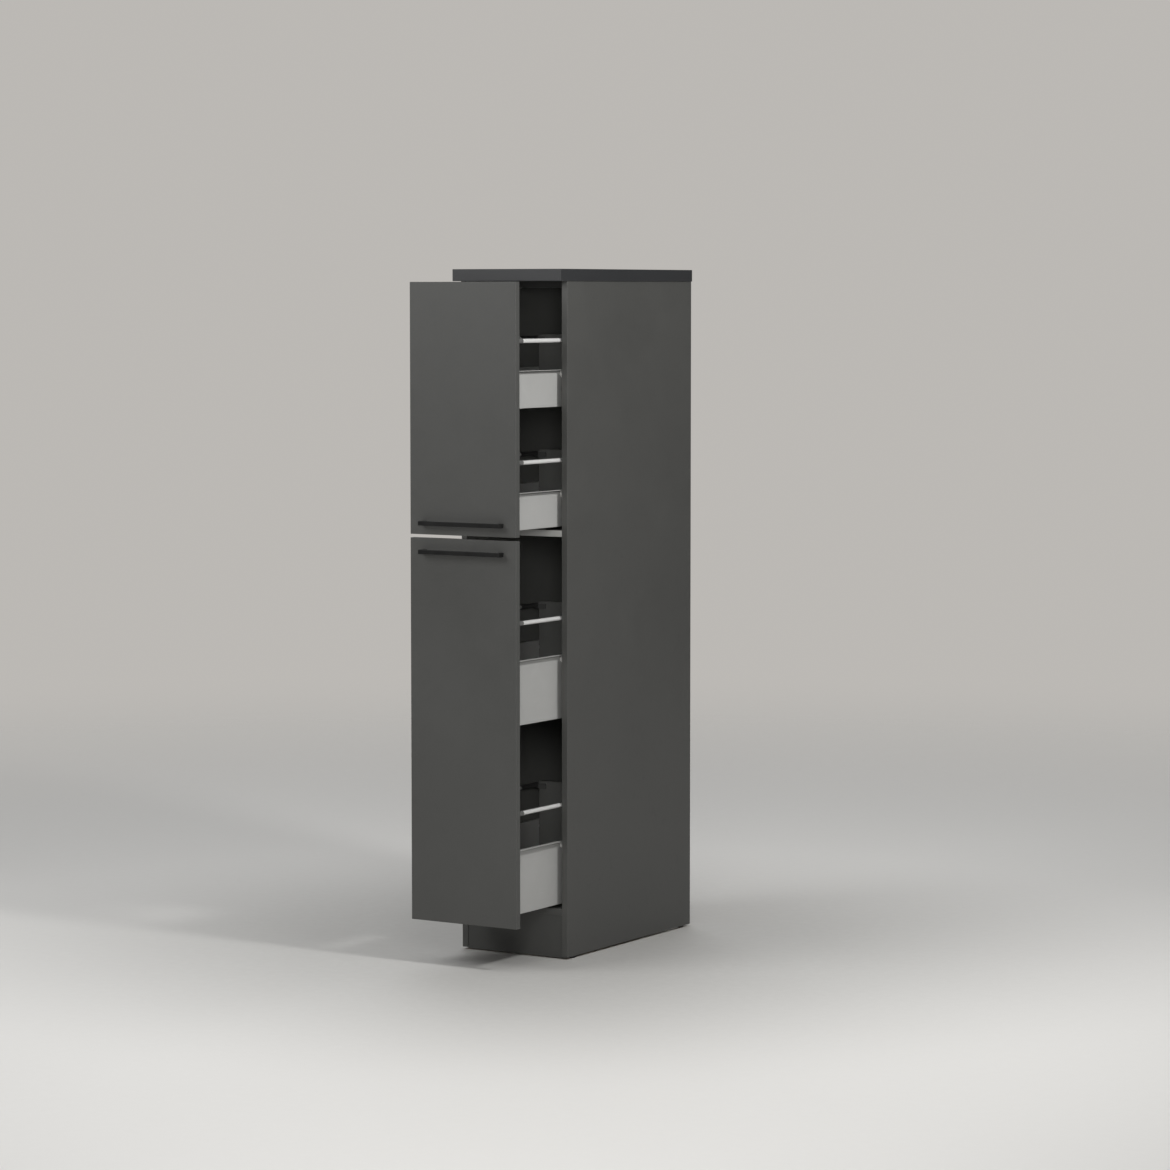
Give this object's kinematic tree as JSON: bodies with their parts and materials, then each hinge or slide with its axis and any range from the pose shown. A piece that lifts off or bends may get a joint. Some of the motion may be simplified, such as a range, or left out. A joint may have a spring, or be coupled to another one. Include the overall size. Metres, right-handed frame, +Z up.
{
  "type": "pull-out spice column",
  "caption": "Tall narrow kitchen cabinet with upper and lower pull-out fronts, each carrying metal-sided drawers with gallery rails on roller runners, under a worktop.",
  "frame": {"origin": "centre of the outer box at floor level, with both pull-outs drawn out 200 mm as in the rest pose", "axes": "+Z up, +X to the right seen from the front, -Y the way the pull-outs open, +Y towards the wall"},
  "size_m": [0.3, 0.804, 1.61],
  "materials": {
    "front_board": "matt dark grey melamine on chipboard",
    "carcass_board": "matt dark grey melamine on chipboard",
    "back_board": "dark grey hardboard",
    "edge_strip": "light grey edging strip",
    "worktop_laminate": "anthracite matt laminate",
    "glide_plastic": "black moulded plastic",
    "zinc_screws": "bright zinc plate",
    "cam_zinc": "die-cast zinc",
    "dowel_beech": "grooved beech",
    "rail_steel": "light grey epoxy coat",
    "pin_steel": "zinc-plated rivet",
    "roller_nylon": "white nylon",
    "side_steel": "light grey epoxy coat",
    "drawer_board": "matt dark grey melamine on chipboard",
    "handle_black": "satin black coat",
    "bracket_steel": "zinc-plated pressed steel",
    "socket_plastic": "grey moulded plastic",
    "gallery_white": "satin white coat"
  },
  "bodies": {
    "cabinet": {"worktop": "worktop_laminate", "side_panel_left": "carcass_board", "side_panel_right": "carcass_board", "bottom_panel": "carcass_board", "middle_shelf": "carcass_board", "middle_shelf_edge_strip": "edge_strip", "top_stretchers": "carcass_board", "wall_rail": "carcass_board", "back_panel": "back_board", "plinth_board": "carcass_board", "floor_glides": "glide_plastic", "worktop_screws": "zinc_screws", "cam_housings": "cam_zinc", "cam_bolts": "cam_zinc", "wood_dowels": "dowel_beech", "cabinet_rails_left": "rail_steel", "cabinet_rails_right": "rail_steel", "cabinet_rail_screws": "zinc_screws", "cabinet_roller_pins": "pin_steel"},
    "upper_pullout": {"upper_front": "front_board", "upper_handle": "handle_black", "upper_handle_screws": "zinc_screws", "upper_front_brackets": "bracket_steel", "upper_rail_sockets": "socket_plastic", "upper_gallery_rails": "gallery_white", "upper_drawer_screws": "zinc_screws", "upper_roller_pins": "pin_steel", "drawer_1_side_left": "side_steel", "drawer_1_side_right": "side_steel", "drawer_1_bottom": "drawer_board", "drawer_1_back": "drawer_board", "drawer_2_side_left": "side_steel", "drawer_2_side_right": "side_steel", "drawer_2_bottom": "drawer_board", "drawer_2_back": "drawer_board"},
    "lower_pullout": {"lower_front": "front_board", "lower_handle": "handle_black", "lower_handle_screws": "zinc_screws", "lower_front_brackets": "bracket_steel", "lower_rail_sockets": "socket_plastic", "lower_gallery_rails": "gallery_white", "lower_drawer_screws": "zinc_screws", "lower_roller_pins": "pin_steel", "drawer_3_side_left": "side_steel", "drawer_3_side_right": "side_steel", "drawer_3_bottom": "drawer_board", "drawer_3_back": "drawer_board", "drawer_4_side_left": "side_steel", "drawer_4_side_right": "side_steel", "drawer_4_bottom": "drawer_board", "drawer_4_back": "drawer_board"},
    "cabinet_rollers_1": {"cabinet_rollers_1": "roller_nylon"},
    "drawer_rollers_1": {"drawer_rollers_1": "roller_nylon"},
    "cabinet_rollers_2": {"cabinet_rollers_2": "roller_nylon"},
    "drawer_rollers_2": {"drawer_rollers_2": "roller_nylon"},
    "cabinet_rollers_3": {"cabinet_rollers_3": "roller_nylon"},
    "drawer_rollers_3": {"drawer_rollers_3": "roller_nylon"},
    "cabinet_rollers_4": {"cabinet_rollers_4": "roller_nylon"},
    "drawer_rollers_4": {"drawer_rollers_4": "roller_nylon"}
  },
  "joints": [
    {"name": "upper_pullout_slide", "type": "slide", "parent": "cabinet", "child": "upper_pullout", "axis": [0, -1, 0], "range_m": [-0.198, 0.182]},
    {"name": "lower_pullout_slide", "type": "slide", "parent": "cabinet", "child": "lower_pullout", "axis": [0, -1, 0], "range_m": [-0.198, 0.182]},
    {"name": "cabinet_rollers_1_spin", "type": "hinge", "parent": "cabinet", "child": "cabinet_rollers_1", "pos_m": [0, -0.147, 1.368], "axis": [1, 0, 0], "range_deg": [-1421, 1306]},
    {"name": "drawer_rollers_1_spin", "type": "hinge", "parent": "upper_pullout", "child": "drawer_rollers_1", "pos_m": [0, 0.125, 1.3617], "axis": [1, 0, 0], "range_deg": [-1292, 1187]},
    {"name": "cabinet_rollers_2_spin", "type": "hinge", "parent": "cabinet", "child": "cabinet_rollers_2", "pos_m": [0, -0.147, 1.0895], "axis": [1, 0, 0], "range_deg": [-1421, 1306]},
    {"name": "drawer_rollers_2_spin", "type": "hinge", "parent": "upper_pullout", "child": "drawer_rollers_2", "pos_m": [0, 0.125, 1.0832], "axis": [1, 0, 0], "range_deg": [-1292, 1187]},
    {"name": "cabinet_rollers_3_spin", "type": "hinge", "parent": "cabinet", "child": "cabinet_rollers_3", "pos_m": [0, -0.147, 0.705], "axis": [1, 0, 0], "range_deg": [-1421, 1306]},
    {"name": "drawer_rollers_3_spin", "type": "hinge", "parent": "lower_pullout", "child": "drawer_rollers_3", "pos_m": [0, 0.125, 0.6987], "axis": [1, 0, 0], "range_deg": [-1292, 1187]},
    {"name": "cabinet_rollers_4_spin", "type": "hinge", "parent": "cabinet", "child": "cabinet_rollers_4", "pos_m": [0, -0.147, 0.268], "axis": [1, 0, 0], "range_deg": [-1421, 1306]},
    {"name": "drawer_rollers_4_spin", "type": "hinge", "parent": "lower_pullout", "child": "drawer_rollers_4", "pos_m": [0, 0.125, 0.2617], "axis": [1, 0, 0], "range_deg": [-1292, 1187]}
  ],
  "couplings": [
    {"joint": "cabinet_rollers_1_spin", "follows": "upper_pullout_slide", "rad_per_m": 125},
    {"joint": "drawer_rollers_1_spin", "follows": "upper_pullout_slide", "rad_per_m": 113.64},
    {"joint": "cabinet_rollers_2_spin", "follows": "upper_pullout_slide", "rad_per_m": 125},
    {"joint": "drawer_rollers_2_spin", "follows": "upper_pullout_slide", "rad_per_m": 113.64},
    {"joint": "cabinet_rollers_3_spin", "follows": "lower_pullout_slide", "rad_per_m": 125},
    {"joint": "drawer_rollers_3_spin", "follows": "lower_pullout_slide", "rad_per_m": 113.64},
    {"joint": "cabinet_rollers_4_spin", "follows": "lower_pullout_slide", "rad_per_m": 125},
    {"joint": "drawer_rollers_4_spin", "follows": "lower_pullout_slide", "rad_per_m": 113.64}
  ]
}
